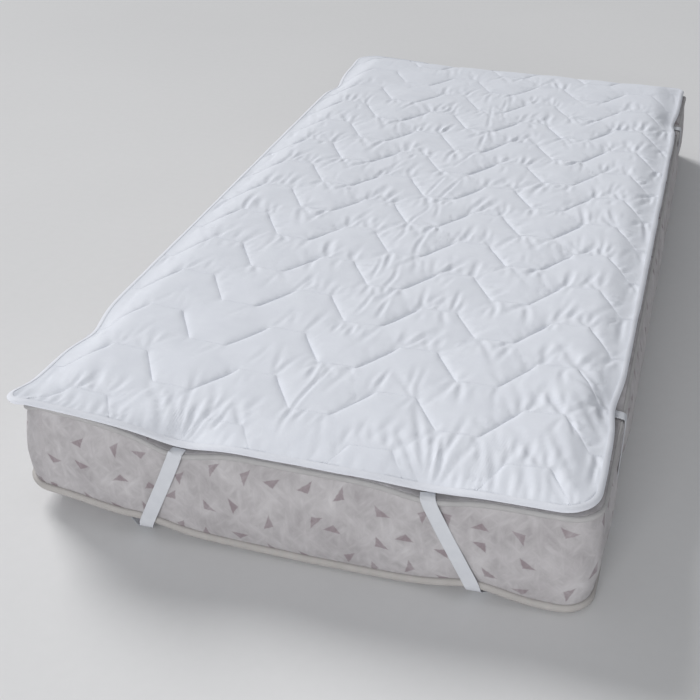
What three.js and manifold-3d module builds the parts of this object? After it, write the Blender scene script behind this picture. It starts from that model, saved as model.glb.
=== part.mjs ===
// A quilted mattress pad with elastic corner straps, laid on a plain mattress.
// Millimetres, +Z up. The origin is under the middle of the mattress and the near short end faces -Y.

import * as THREE from 'three';
import { mergeVertices } from 'three/addons/utils/BufferGeometryUtils.js';
import Module from 'manifold-3d';

const wasm = await Module();
wasm.setup();

// Pad
const padWidth = 900;
const padLength = 2000;
const seamThickness = 13; // at a sewn line
const crownThickness = 22; // at the middle of a channel
const crownUneven = 1.4; // how much the channels differ in height
const unevenAcross = 61; // lengths over which that difference changes
const unevenAlong = 97;
const edgeTaper = 62; // width over which the filling thins out towards the binding
const marginRow = 13; // the last row of points before the edge

// Quilting: each sewn line is a trapezoid wave across the width, mirrored about the centre line
const waveFlat = 64;
const waveSlope = 49;
const waveRise = 85;
const wavePeriod = 2 * (waveFlat + waveSlope);
const seamPitch = 148;
const seamCount = 13;
const firstSeam = -1034; // low flat of the first line
const seamBow = 0.00016; // the lines bow towards the far end at the sides, by this times the square of x
const channelSteps = [0, 0.16, 0.5, 0.84]; // rows of points across one channel
const channelRoundness = 0.55;

// Binding, as a folded tape round the thin rim of the pad
const bindingReach = 9.6; // from the quilted edge to the outside
const bindingLap = 0.6; // clear of the quilted edge
const foldGap = 1.05; // between the fold's inside and the rim
const bindingTop = 9.4;
const bindingBottom = -0.6;
const rimTop = 6.2;
const rimMiddle = 4.4;
const rimBottom = 2.6;
const rimReach = 6.5;

// Mattress
const mattressWidth = 900;
const mattressLength = 2000;
const mattressHeight = 175;
const sideBulge = 14;
const topTapeHeight = 168.4; // middle of the tape
const bottomTapeHeight = 9.5;
const topTapeWidth = 9;
const bottomTapeWidth = 12;
const tapeProud = 5.5;
const topShoulder = 73; // inset of the flat top
const shoulderInset = 25; // where the top panel rounds over
const shoulderDrop = 1.6;
const bottomShoulder = 42; // inset of the flat underside
const curlInset = 22; // where the underside curls up to its edge
const curlShare = 0.45; // of the edge's lift
const tapeRoll = 3; // by which the cloth rolls in beside a tape
const tapeLand = 0.5; // flat land beyond each tape's edge

// Straps
const strapWidth = 22;
const strapThickness = 1.5;
const strapOut = 7.8; // middle of the strap, outside the mattress's edge
const strapFloor = 1; // middle of the strap, above the floor
const strapChannel = 0.5; // room round the strap where it lies in the mattress's underside
const pieceGap = 0.3;

// How a strap draws the cloth: the pad's edge inwards and down, the mattress's tapes together
const strapDraw = 8;
const sideDip = 9; // of the pad's edge on a long side
const tapeDip = 13;
const tapeLift = 14;
const strapFlatten = 9.5; // taken off the side bulge
const cornerFlatten = 8;
const cornerFlattenSpread = 130;
const pullSpread = 58;
const cornerSpreadY = 70; // the pad's lifted corner, along the long side
const bedCornerSpread = 240;
const topTapeShare = 0.7; // of the underside's lift at a corner
const padMargin = 60; // edge zone in which the pad leaves the flat top

// Corners: plan radii of the pad and the mattress, how far each stands up there, how far along the short
// end the pad does so, and the strap: how deep it draws the short end's edge down, and its ends on the short
// end (x) and on the long side (y), at the pad's edge and at the foot where it turns under.
const corners = [
  { name: 'near_left', sx: -1, sy: -1, padRadius: 35, bedRadius: 75, padLift: 23, bedLift: 32, liftSpread: 250,
    edgeDip: 16, edgeX: 165, footX: 222, edgeY: 715, footY: 772 },
  { name: 'near_right', sx: 1, sy: -1, padRadius: 70, bedRadius: 60, padLift: 2, bedLift: 0, liftSpread: 190,
    edgeDip: 9, edgeX: 210, footX: 286, edgeY: 700, footY: 765 },
  { name: 'far_right', sx: 1, sy: 1, padRadius: 25, bedRadius: 60, padLift: 0, bedLift: 0, liftSpread: 190,
    edgeDip: 9, edgeX: 215, footX: 280, edgeY: 705, footY: 765 },
  { name: 'far_left', sx: -1, sy: 1, padRadius: 60, bedRadius: 90, padLift: 10, bedLift: 6, liftSpread: 190,
    edgeDip: 9, edgeX: 170, footX: 228, edgeY: 740, footY: 790 },
];

// Sides: how far the pad's margin lies outwards and droops between the straps
const sides = {
  left: { out: 1, droop: 6 },
  right: { out: -3, droop: 3 },
  near: { out: 4, droop: 0 },
  far: { out: -1, droop: 7 },
};

const cloth = (color, roughness) => new THREE.MeshStandardMaterial({ color, roughness, metalness: 0 });
const materials = {
  pad: cloth(0xf3f4f8, 0.9),
  binding: cloth(0xf0f1f5, 0.85),
  strap: cloth(0xe9ebf0, 0.8),
  border: cloth(0xb3aca8, 0.85),
  topTape: cloth(0xbfbfc2, 0.8),
  bottomTape: cloth(0xd3cdc2, 0.85),
};

// Shared helpers
const clamp = THREE.MathUtils.clamp;
const blend = THREE.MathUtils.lerp;
const ease = (value, from, to) => THREE.MathUtils.smoothstep(value, from, to);
const bump = (distance, spread) => Math.exp(-((distance / spread) ** 2));

// A mesh under construction: points are shared by their index, and collapsed triangles are dropped.
class Shell {
  constructor() {
    this.points = [];
    this.triangles = [];
  }

  add(point) {
    this.points.push(point);
    return this.points.length - 1;
  }

  ring(points) {
    return points.map((point) => this.add(point));
  }

  triangle(a, b, c) {
    if (a !== b && b !== c && c !== a) this.triangles.push(a, b, c);
  }

  quad(a, b, c, d) {
    this.triangle(a, b, c);
    this.triangle(a, c, d);
  }

  // Joins two closed rings, the second one lying to the inner side of the walking direction
  strip(outer, inner) {
    outer.forEach((point, i) => {
      const next = (i + 1) % outer.length;
      this.quad(point, outer[next], inner[next], inner[i]);
    });
  }

  // Closes a convex ring round a point
  cap(ring, centre) {
    const hub = this.add(centre);
    ring.forEach((point, i) => this.triangle(point, ring[(i + 1) % ring.length], hub));
  }

  geometry() {
    const geometry = new THREE.BufferGeometry();
    const flat = this.points.flatMap((point) => [point.x, point.y, point.z]);
    geometry.setAttribute('position', new THREE.Float32BufferAttribute(flat, 3));
    geometry.setIndex(this.triangles);
    return withoutSlivers(mergeVertices(geometry, 1e-3));
  }
}

function withoutSlivers(geometry) {
  const index = geometry.index.array;
  const kept = [];
  for (let i = 0; i < index.length; i += 3) {
    const [a, b, c] = index.slice(i, i + 3);
    if (a !== b && b !== c && c !== a) kept.push(a, b, c);
  }
  geometry.setIndex(kept);
  return geometry;
}

function toSolid(geometry) {
  const vertProperties = Float32Array.from(geometry.attributes.position.array);
  const triVerts = Uint32Array.from(geometry.index.array);
  return new wasm.Manifold(new wasm.Mesh({ numProp: 3, vertProperties, triVerts }));
}

function toGeometry(solid) {
  const mesh = solid.getMesh();
  const geometry = new THREE.BufferGeometry();
  geometry.setAttribute('position', new THREE.Float32BufferAttribute(mesh.vertProperties, 3));
  geometry.setIndex([...mesh.triVerts]);
  return geometry;
}

function piece(name, geometry, material) {
  const shaded = geometry.clone();
  shaded.computeVertexNormals();
  const mesh = new THREE.Mesh(shaded, material);
  mesh.name = name;
  return mesh;
}

// Strap ends, where the pad's edge and the mattress's tapes are drawn
const halfWidth = padWidth / 2;
const halfLength = padLength / 2;
const quiltX = halfWidth - bindingReach;
const quiltY = halfLength - bindingReach;
const edgePulls = corners.flatMap((corner) => [
  { x: corner.sx * corner.edgeX, y: corner.sy * halfLength, inX: 0, inY: -corner.sy, dip: corner.edgeDip },
  { x: corner.sx * halfWidth, y: corner.sy * corner.edgeY, inX: -corner.sx, inY: 0, dip: sideDip },
]);
const footPulls = corners.flatMap((corner) => [
  { x: corner.sx * corner.footX, y: corner.sy * halfLength },
  { x: corner.sx * halfWidth, y: corner.sy * corner.footY },
]);
const nearPull = (pulls, x, y) =>
  pulls.reduce((most, pull) => Math.max(most, bump(Math.hypot(x - pull.x, y - pull.y), pullSpread)), 0);

const cornerDistance = (corner, x, y) => Math.hypot(x - corner.sx * halfWidth, y - corner.sy * halfLength);

const sideOf = (x, y) => {
  if (x !== 0) return x < 0 ? sides.left : sides.right;
  return y < 0 ? sides.near : sides.far;
};

// Lays a point of the flat pad (u across, v along, height above its underside) on the mattress
function layPad(u, v, height) {
  const marginX = ease(Math.abs(u), quiltX - padMargin, quiltX);
  const marginY = ease(Math.abs(v), quiltY - padMargin, quiltY);
  const margin = Math.max(marginX, marginY);
  const sideX = sideOf(u || 1, 0);
  const sideY = sideOf(0, v);
  let x = u + Math.sign(u) * marginX * sideX.out;
  let y = v + Math.sign(v) * marginY * sideY.out;
  let z = mattressHeight + pieceGap + height - Math.max(marginX * sideX.droop, marginY * sideY.droop);
  for (const pull of edgePulls) {
    const share = margin * bump(Math.hypot(u - pull.x, v - pull.y), pullSpread);
    x += pull.inX * strapDraw * share;
    y += pull.inY * strapDraw * share;
    z -= pull.dip * share;
  }
  for (const corner of corners) {
    const fromX = (u - corner.sx * halfWidth) / corner.liftSpread;
    const fromY = (v - corner.sy * halfLength) / cornerSpreadY;
    z += corner.padLift * margin * bump(Math.hypot(fromX, fromY), 1);
  }
  return new THREE.Vector3(x, y, z);
}

// Quilting
function waveAt(u) {
  const along = Math.abs(u) % wavePeriod;
  const folded = Math.min(along, wavePeriod - along);
  return waveRise * clamp((folded - waveFlat / 2) / waveSlope, 0, 1) + seamBow * u * u;
}

function channelHeight(u, v) {
  const phase = (v - waveAt(u) - firstSeam) / seamPitch;
  const roundness = Math.abs(Math.sin(Math.PI * phase)) ** channelRoundness;
  const uneven = crownUneven * Math.sin(u / unevenAcross + 2 * Math.floor(phase)) * Math.cos(v / unevenAlong);
  return seamThickness + (crownThickness - seamThickness + uneven) * roundness;
}

const quiltRadius = (corner) => corner.padRadius - bindingReach;
const cornerAt = (sx, sy) => corners.find((corner) => corner.sx === sx && corner.sy === sy);

// The quilted area's end at a column, with the outward direction there
function columnEnd(u, sy) {
  const corner = cornerAt(u < 0 ? -1 : 1, sy);
  const radius = quiltRadius(corner);
  const into = Math.max(0, Math.abs(u) - (quiltX - radius));
  const rise = Math.sqrt(Math.max(0, radius * radius - into * into));
  const outX = corner.sx * into / radius;
  return { v: sy * (quiltY - radius + rise), outX, outY: sy * rise / radius };
}

// Columns stand at the wave's corners, at the middles of its flats and on the rounded corners
function quiltColumns() {
  const halfFlat = waveFlat / 2;
  const columns = [0];
  for (let middle = 0; middle < quiltX; middle += wavePeriod / 2) {
    columns.push(middle, middle + halfFlat, middle + halfFlat + waveSlope);
  }
  const mirrored = columns.flatMap((u) => [-u, u]);
  for (const corner of corners) {
    for (const angle of [0, 30, 60, 90]) {
      const inset = quiltRadius(corner) * (1 - Math.cos(THREE.MathUtils.degToRad(angle)));
      mirrored.push(corner.sx * (quiltX - inset));
    }
  }
  const sorted = mirrored.filter((u) => Math.abs(u) <= quiltX).sort((a, b) => a - b);
  const closest = 2.5;
  return sorted.filter((u, i) => i === 0 || u - sorted[i - 1] > closest || u === quiltX);
}

function quiltRows(u) {
  const near = columnEnd(u, -1).v;
  const far = columnEnd(u, 1).v;
  const rows = [near];
  for (let seam = 0; seam <= seamCount; seam += 1) {
    for (const step of channelSteps) {
      const v = firstSeam + seamPitch * (seam + step) + waveAt(u);
      rows.push(clamp(v, near + marginRow, far - marginRow));
    }
  }
  rows.push(far);
  return rows;
}

function quiltHeight(u, v) {
  const toEnd = Math.min(columnEnd(u, 1).v - v, v - columnEnd(u, -1).v);
  const inside = Math.min(quiltX - Math.abs(u), toEnd);
  return blend(rimTop, channelHeight(u, v), ease(inside, 0, edgeTaper));
}

const columns = quiltColumns();
const rowsOf = columns.map(quiltRows);

// The quilted edge, walked anticlockwise from the near left corner, with outward directions
function quiltEdge() {
  const last = columns.length - 1;
  const side = (column, outX) => {
    const rows = rowsOf[column].slice(1, -1);
    return rows.map((v) => ({ u: columns[column], v, outX, outY: 0 }));
  };
  const end = (sy) => columns.map((u) => ({ u, ...columnEnd(u, sy) }));
  const walk = [...end(-1), ...side(last, 1), ...end(1).reverse(), ...side(0, -1).reverse()];
  return walk.filter((at, i) => {
    const before = walk[(i + walk.length - 1) % walk.length];
    return Math.hypot(at.u - before.u, at.v - before.v) > pieceGap;
  });
}

const edge = quiltEdge();
const edgePoint = (at, out, height) => layPad(at.u + at.outX * out, at.v + at.outY * out, height);

function quiltedPad() {
  const shell = new Shell();
  const grid = columns.map((u, i) => rowsOf[i].map((v) => shell.add(layPad(u, v, quiltHeight(u, v)))));
  for (let i = 0; i + 1 < grid.length; i += 1) {
    for (let k = 0; k + 1 < grid[i].length; k += 1) {
      shell.quad(grid[i][k], grid[i + 1][k], grid[i + 1][k + 1], grid[i][k + 1]);
    }
  }
  const flatX = quiltX - padMargin;
  const flatY = quiltY - padMargin;
  const quilted = shell.ring(edge.map((at) => edgePoint(at, 0, rimTop)));
  const rim = shell.ring(edge.map((at) => edgePoint(at, rimReach, rimMiddle)));
  const under = shell.ring(edge.map((at) => edgePoint(at, 0, rimBottom)));
  const toFlat = (at) => layPad(clamp(at.u, -flatX, flatX), clamp(at.v, -flatY, flatY), 0);
  const flat = shell.ring(edge.map(toFlat));
  shell.strip(rim, quilted);
  shell.strip(under, rim);
  shell.strip(flat, under);
  shell.cap([...flat].reverse(), layPad(0, 0, 0));
  return piece('quilted_pad', shell.geometry(), materials.pad);
}

// The folded tape's section, as steps outwards from the quilted edge and up
const foldMiddle = (rimReach + bindingReach) / 2;
const bindingSection = [
  { out: bindingLap, height: bindingTop - pieceGap },
  { out: rimReach - bindingLap, height: bindingTop },
  { out: bindingReach, height: rimMiddle },
  { out: rimReach - bindingLap, height: bindingBottom },
  { out: bindingLap, height: bindingBottom + pieceGap },
  { out: bindingLap, height: rimBottom - foldGap },
  { out: foldMiddle - pieceGap, height: rimMiddle },
  { out: bindingLap, height: rimTop + foldGap },
];

function edgeBinding() {
  const shell = new Shell();
  const ringAt = ({ out, height }) => shell.ring(edge.map((at) => edgePoint(at, out, height)));
  const rings = bindingSection.map(ringAt);
  rings.forEach((ring, i) => shell.strip(rings[(i + 1) % rings.length], ring));
  return piece('edge_binding', shell.geometry(), materials.binding);
}

// Mattress outline, walked anticlockwise from the near left corner
const bedX = mattressWidth / 2;
const bedY = mattressLength / 2;
const strapSteps = [-60, -16, 16, 60]; // beside each strap's edge and foot
const cornerSteps = 6;
const longestStep = 150;
const closestStep = 10;

function sideStations(from, to, straps) {
  const stations = [from, to];
  for (const strap of straps) stations.push(...strapSteps.map((step) => strap + step));
  const inside = stations.filter((at) => at >= from && at <= to).sort((a, b) => a - b);
  const filled = [];
  inside.forEach((at, i) => {
    const gap = i > 0 ? at - inside[i - 1] : 0;
    const extra = Math.ceil(gap / longestStep) - 1;
    for (let k = 1; k <= extra; k += 1) filled.push(inside[i - 1] + gap * k / (extra + 1));
    if (i === 0 || gap > closestStep) filled.push(at);
  });
  return filled;
}

function bedOutline() {
  const [nearLeft, nearRight, farRight, farLeft] = corners;
  const strapsX = (corner) => [corner.sx * corner.edgeX, corner.sx * corner.footX];
  const strapsY = (corner) => [corner.sy * corner.edgeY, corner.sy * corner.footY];
  const across = (a, b) => {
    const straps = [...strapsX(a), ...strapsX(b)];
    return sideStations(a.bedRadius - bedX, bedX - b.bedRadius, straps);
  };
  const along = (a, b) => {
    const straps = [...strapsY(a), ...strapsY(b)];
    return sideStations(a.bedRadius - bedY, bedY - b.bedRadius, straps);
  };
  const arc = (corner, start) => {
    const stations = [];
    for (let k = 1; k < cornerSteps; k += 1) {
      const angle = start + Math.PI / 2 * k / cornerSteps;
      const outX = Math.cos(angle);
      const outY = Math.sin(angle);
      const x = corner.sx * (bedX - corner.bedRadius) + corner.bedRadius * outX;
      const y = corner.sy * (bedY - corner.bedRadius) + corner.bedRadius * outY;
      stations.push({ x, y, outX, outY });
    }
    return stations;
  };
  return [
    ...across(nearLeft, nearRight).map((x) => ({ x, y: -bedY, outX: 0, outY: -1 })),
    ...arc(nearRight, -Math.PI / 2),
    ...along(nearRight, farRight).map((y) => ({ x: bedX, y, outX: 1, outY: 0 })),
    ...arc(farRight, 0),
    ...across(farLeft, farRight).reverse().map((x) => ({ x, y: bedY, outX: 0, outY: 1 })),
    ...arc(farLeft, Math.PI / 2),
    ...along(nearLeft, farLeft).reverse().map((y) => ({ x: -bedX, y, outX: -1, outY: 0 })),
    ...arc(nearLeft, Math.PI),
  ];
}

const outline = bedOutline().map((at) => {
  const topPull = nearPull(edgePulls, at.x, at.y);
  const footPull = nearPull(footPulls, at.x, at.y);
  const standUp = (corner) => corner.bedLift * bump(cornerDistance(corner, at.x, at.y), bedCornerSpread);
  const cornerLift = Math.max(...corners.map(standUp));
  const nearest = Math.min(...corners.map((corner) => cornerDistance(corner, at.x, at.y)));
  const cornerShare = bump(nearest, cornerFlattenSpread);
  const endShare = at.outY ** 2;
  const droopX = sideOf(at.outX, 0).droop * ease(Math.abs(at.outX), 0, 0.4);
  const droopY = sideOf(0, at.outY).droop * ease(Math.abs(at.outY), 0, 0.4);
  const droop = Math.max(droopX, droopY);
  const dip = droop + tapeDip * topPull - topTapeShare * cornerLift * endShare * (1 - topPull);
  const lift = Math.hypot(tapeLift * footPull, cornerLift);
  return {
    ...at,
    dip,
    lift,
    topTape: topTapeHeight - dip,
    bottomTape: bottomTapeHeight + lift,
    bulge: sideBulge - Math.max(strapFlatten * Math.max(topPull, footPull), cornerFlatten * cornerShare),
  };
});
const bedRing = (shell, out, height) => shell.ring(outline.map((at) => {
  const reach = out(at);
  return new THREE.Vector3(at.x + at.outX * reach, at.y + at.outY * reach, height(at));
}));

// The mattress's section from the flat underside, round the two taped edges, to the flat top
const bottomLand = bottomTapeWidth / 2 + tapeLand;
const topLand = topTapeWidth / 2 + tapeLand;
const bedSection = [
  { out: () => -bottomShoulder, height: () => 0 },
  { out: () => -curlInset, height: (at) => tapeLand + curlShare * at.lift },
  { out: () => -tapeRoll, height: (at) => at.bottomTape - bottomTapeWidth / 2 - tapeRoll },
  { out: () => 0, height: (at) => at.bottomTape - bottomLand },
  { out: () => 0, height: (at) => at.bottomTape + bottomLand },
  { out: (at) => 0.75 * at.bulge, height: (at) => blend(at.bottomTape, at.topTape, 0.24) },
  { out: (at) => at.bulge, height: (at) => blend(at.bottomTape, at.topTape, 0.48) },
  { out: (at) => 0.7 * at.bulge, height: (at) => blend(at.bottomTape, at.topTape, 0.75) },
  { out: () => 0, height: (at) => at.topTape - topLand },
  { out: () => 0, height: (at) => at.topTape + topLand },
  { out: () => -tapeRoll, height: (at) => at.topTape + topLand + tapeLand },
  { out: () => -shoulderInset, height: (at) => mattressHeight - shoulderDrop - Math.max(0, at.dip) },
];

// A strap's run down one face, from the rim of the pad to the foot under the mattress.
// out is from the mattress's edge, slant goes from the edge's place to the foot's, and turn tells which
// way the strap faces: up over the tape (-1), out from the side (0) or down to the floor (1).
function strapLeg(rim) {
  const top = topTapeHeight - tapeDip - rim.droop;
  const foot = bottomTapeHeight + tapeLift;
  const rimHeight = rim.height - pieceGap - strapThickness / 2;
  return [
    { out: rim.out, height: rimHeight, slant: 0, turn: -1 },
    { out: 3.6, height: blend(rimHeight, top, 0.1), slant: 0.02, turn: -0.7 },
    { out: strapOut - 0.2, height: top + 4.4, slant: 0.05, turn: -0.15 },
    { out: strapOut, height: top - 5, slant: 0.1, turn: 0 },
    { out: strapOut, height: blend(foot, top, 0.6), slant: 0.42, turn: 0 },
    { out: strapOut, height: blend(foot, top, 0.28), slant: 0.72, turn: 0 },
    { out: strapOut, height: foot + 4, slant: 0.95, turn: 0 },
    { out: strapOut - 0.6, height: foot - 5, slant: 1, turn: 0.2 },
    { out: 3, height: foot - 11, slant: 1, turn: 0.5 },
    { out: -5, height: foot - 14, slant: 1, turn: 0.8 },
    { out: -16, height: blend(strapFloor, foot - 14, 0.45), slant: 1, turn: 0.95 },
    { out: -32, height: blend(strapFloor, foot - 14, 0.1), slant: 1, turn: 1 },
    { out: -46, height: strapFloor, slant: 1, turn: 1 },
  ];
}

function strapStations(corner) {
  const { sx, sy } = corner;
  const endFoot = new THREE.Vector2(sx * corner.footX, sy * bedY);
  const sideFoot = new THREE.Vector2(sx * bedX, sy * corner.footY);
  const under = sideFoot.clone().sub(endFoot).normalize();
  const rimOut = rimReach - bindingLap;
  const endRim = layPad(sx * corner.edgeX, sy * (quiltY + rimOut), bindingBottom);
  const sideRim = layPad(sx * (quiltX + rimOut), sy * corner.edgeY, bindingBottom);
  const floor = new THREE.Vector3(0, 0, -1);
  const facing = (turn, outward) => {
    const away = turn < 0 ? floor.clone().negate() : floor;
    return outward.clone().lerp(away, Math.abs(turn)).normalize();
  };
  const inset = (row) => (row.turn > 0 ? Math.max(0, -row.out) : 0);
  const endTop = { out: Math.abs(endRim.y) - bedY, height: endRim.z, droop: sideOf(0, sy).droop };
  const endLeg = strapLeg(endTop).map((row) => {
    const x = sx * blend(corner.edgeX, corner.footX, row.slant) + under.x * inset(row) / Math.abs(under.y);
    const place = new THREE.Vector3(x, sy * (bedY + row.out), row.height);
    return { place, facing: facing(row.turn, new THREE.Vector3(0, sy, 0)) };
  });
  const sideTop = { out: Math.abs(sideRim.x) - bedX, height: sideRim.z, droop: sideOf(sx, 0).droop };
  const sideLeg = strapLeg(sideTop).map((row) => {
    const y = sy * blend(corner.edgeY, corner.footY, row.slant) - under.y * inset(row) / Math.abs(under.x);
    const place = new THREE.Vector3(sx * (bedX + row.out), y, row.height);
    return { place, facing: facing(row.turn, new THREE.Vector3(sx, 0, 0)) };
  });
  return [...endLeg, ...sideLeg.reverse()];
}

// A flat band along the stations, grown by a margin for the channel that it lies in
function strapGeometry(corner, margin) {
  const stations = strapStations(corner);
  const shell = new Shell();
  const rings = stations.map(({ place, facing }, i) => {
    const before = stations[Math.max(0, i - 1)].place;
    const after = stations[Math.min(stations.length - 1, i + 1)].place;
    const along = after.clone().sub(before).normalize();
    const across = facing.clone().cross(along).normalize().multiplyScalar(strapWidth / 2 + margin);
    const thick = along.clone().cross(across).normalize().multiplyScalar(strapThickness / 2 + margin);
    return shell.ring([
      place.clone().add(across).add(thick),
      place.clone().sub(across).add(thick),
      place.clone().sub(across).sub(thick),
      place.clone().add(across).sub(thick),
    ]);
  });
  for (let i = 0; i + 1 < rings.length; i += 1) shell.strip(rings[i], rings[i + 1]);
  const [a, b, c, d] = rings[0];
  const [e, f, g, h] = rings[rings.length - 1];
  shell.quad(d, c, b, a);
  shell.quad(e, f, g, h);
  return shell.geometry();
}

function cornerStraps() {
  return corners.map((corner) => piece(`strap_${corner.name}`, strapGeometry(corner, 0), materials.strap));
}

function mattressBody() {
  const shell = new Shell();
  const flatX = bedX - topShoulder;
  const flatY = bedY - topShoulder;
  const toFlat = (at) => {
    const x = clamp(at.x, -flatX, flatX);
    const y = clamp(at.y, -flatY, flatY);
    return new THREE.Vector3(x, y, mattressHeight);
  };
  const rings = bedSection.map(({ out, height }) => bedRing(shell, out, height));
  rings.push(shell.ring(outline.map(toFlat)));
  for (let i = 0; i + 1 < rings.length; i += 1) shell.strip(rings[i], rings[i + 1]);
  const offCentre = new THREE.Vector3(40, 150, 0);
  shell.cap([...rings[0]].reverse(), offCentre);
  shell.cap(rings[rings.length - 1], offCentre.clone().setZ(mattressHeight));
  const body = corners.reduce(
    (solid, corner) => solid.subtract(toSolid(strapGeometry(corner, strapChannel))),
    toSolid(shell.geometry()),
  );
  return piece('mattress_body', toGeometry(body), materials.border);
}

// A rounded tape on the mattress's edge, with its flat back against the land
function edgeTape(name, middle, width, material) {
  const shell = new Shell();
  const section = [
    { out: pieceGap, up: -0.5 },
    { out: 0.75 * tapeProud, up: -0.38 },
    { out: tapeProud, up: 0 },
    { out: 0.75 * tapeProud, up: 0.38 },
    { out: pieceGap, up: 0.5 },
  ];
  const rings = section.map(({ out, up }) => bedRing(shell, () => out, (at) => middle(at) + up * width));
  rings.forEach((ring, i) => shell.strip(ring, rings[(i + 1) % rings.length]));
  return piece(name, shell.geometry(), material);
}

const mattressPad = new THREE.Group();
mattressPad.name = 'mattress_pad_on_mattress';
mattressPad.add(
  quiltedPad(),
  edgeBinding(),
  ...cornerStraps(),
  mattressBody(),
  edgeTape('mattress_tape_top', (at) => at.topTape, topTapeWidth, materials.topTape),
  edgeTape('mattress_tape_bottom', (at) => at.bottomTape, bottomTapeWidth, materials.bottomTape),
);

export default mattressPad;
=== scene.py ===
import math

import bpy
import numpy as np
from mathutils import Matrix, Vector


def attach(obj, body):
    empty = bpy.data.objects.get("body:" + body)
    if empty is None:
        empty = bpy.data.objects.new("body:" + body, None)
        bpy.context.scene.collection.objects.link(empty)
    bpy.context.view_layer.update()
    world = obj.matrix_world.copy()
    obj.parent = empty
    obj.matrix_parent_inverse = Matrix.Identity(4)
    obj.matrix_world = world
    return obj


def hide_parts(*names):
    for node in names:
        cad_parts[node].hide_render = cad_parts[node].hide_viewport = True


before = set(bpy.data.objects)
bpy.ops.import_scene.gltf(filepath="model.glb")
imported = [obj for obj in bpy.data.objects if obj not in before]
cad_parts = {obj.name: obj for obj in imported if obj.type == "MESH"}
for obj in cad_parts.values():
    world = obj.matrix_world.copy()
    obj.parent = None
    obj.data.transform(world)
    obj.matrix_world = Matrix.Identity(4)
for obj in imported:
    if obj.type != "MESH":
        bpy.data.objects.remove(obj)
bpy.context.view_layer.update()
print("frame loaded:", len(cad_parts), "solids")

mm = 0.001  # sizes below are in millimetres, meshes are in metres
seed = 41
sharpAngle = 50  # degrees between two faces from which an edge is shaded sharp

# Layout: how the pad lies on the mattress and where the straps draw it in
padCut = {
    "width": 900,
    "length": 2000,
    "bindingReach": 8,  # from the quilted edge to the outside of the binding
    "margin": 60,  # edge zone in which the pad leaves the flat top
    "bedTop": 175,
    "gap": 0.3,
}
halfWidth = padCut["width"] / 2
halfLength = padCut["length"] / 2
quiltX = halfWidth - padCut["bindingReach"]
quiltY = halfLength - padCut["bindingReach"]

# Which way a corner lies, its rounding, how pad and mattress lift there, and where its strap's two ends are
corners = [
    dict(name="near_left", sx=-1, sy=-1, padRadius=35, bedRadius=48, bedInset=14, padLift=23, bedLift=32,
         liftSpread=250, edgeDip=16, edgeX=165, footX=222, edgeY=715, footY=772),
    dict(name="near_right", sx=1, sy=-1, padRadius=58, bedRadius=48, bedInset=0, padLift=2, bedLift=0,
         liftSpread=190, edgeDip=9, edgeX=210, footX=286, edgeY=700, footY=765),
    dict(name="far_right", sx=1, sy=1, padRadius=25, bedRadius=60, bedInset=0, padLift=0, bedLift=0,
         liftSpread=190, edgeDip=9, edgeX=215, footX=280, edgeY=705, footY=765),
    dict(name="far_left", sx=-1, sy=1, padRadius=60, bedRadius=90, bedInset=0, padLift=10, bedLift=6,
         liftSpread=190, edgeDip=9, edgeX=170, footX=228, edgeY=740, footY=790),
]
sides = {
    "left": {"out": 3, "droop": 6},
    "right": {"out": -3, "droop": 3},
    "near": {"out": 4, "droop": 2.5},
    "far": {"out": -1, "droop": 7},
}
pulls = {
    "draw": 8,  # the pad's edge goes in by this much at a strap
    "sideDip": 9,  # and down by this much on a long side
    "spread": 58,
    "cornerY": 70,
}
edgePulls = []
footPulls = []
for corner in corners:
    sx, sy = corner["sx"], corner["sy"]
    endX, sideY = sx * corner["edgeX"], sy * corner["edgeY"]
    edgePulls.append(dict(x=endX, y=sy * halfLength, inX=0, inY=-sy, dip=corner["edgeDip"]))
    edgePulls.append(dict(x=sx * halfWidth, y=sideY, inX=-sx, inY=0, dip=pulls["sideDip"]))
    footPulls.append(dict(x=sx * corner["footX"], y=sy * halfLength))
    footPulls.append(dict(x=sx * halfWidth, y=sy * corner["footY"]))


def smooth(value, low, high):
    t = np.clip((value - low) / (high - low), 0, 1)
    return t * t * (3 - 2 * t)


def bell(distance, spread):
    return np.exp(-((distance / spread) ** 2))


def mix(a, b, share):
    return a + (b - a) * share


# value noise on a grid of random numbers, repeatable from its seed
def softNoise(x, y, size, key):
    grid = np.random.default_rng(seed + key).uniform(-1, 1, (64, 64))
    gx, gy = x / size + 900, y / size + 900
    ix, iy = np.floor(gx).astype(int), np.floor(gy).astype(int)
    fx, fy = smooth(gx - ix, 0, 1), smooth(gy - iy, 0, 1)
    at = lambda i, j: grid[(ix + i) % 64, (iy + j) % 64]
    return mix(mix(at(0, 0), at(1, 0), fx), mix(at(0, 1), at(1, 1), fx), fy)


def layPad(u, v, height):
    marginX = smooth(np.abs(u), quiltX - padCut["margin"], quiltX)
    marginY = smooth(np.abs(v), quiltY - padCut["margin"], quiltY)
    margin = np.maximum(marginX, marginY)
    pick = lambda key: (np.where(u < 0, sides["left"][key], sides["right"][key]),
                        np.where(v < 0, sides["near"][key], sides["far"][key]))
    outX, outY = pick("out")
    droopX, droopY = pick("droop")
    x = u + np.sign(u) * marginX * outX
    y = v + np.sign(v) * marginY * outY
    z = padCut["bedTop"] + padCut["gap"] + height - np.maximum(marginX * droopX, marginY * droopY)
    for pull in edgePulls:
        share = margin * bell(np.hypot(u - pull["x"], v - pull["y"]), pulls["spread"])
        x = x + pull["inX"] * pulls["draw"] * share
        y = y + pull["inY"] * pulls["draw"] * share
        z = z - pull["dip"] * share
    for corner in corners:
        fromX = (u - corner["sx"] * halfWidth) / corner["liftSpread"]
        fromY = (v - corner["sy"] * halfLength) / pulls["cornerY"]
        z = z + corner["padLift"] * margin * bell(np.hypot(fromX, fromY), 1)
    return np.stack([x, y, z], -1)


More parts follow.
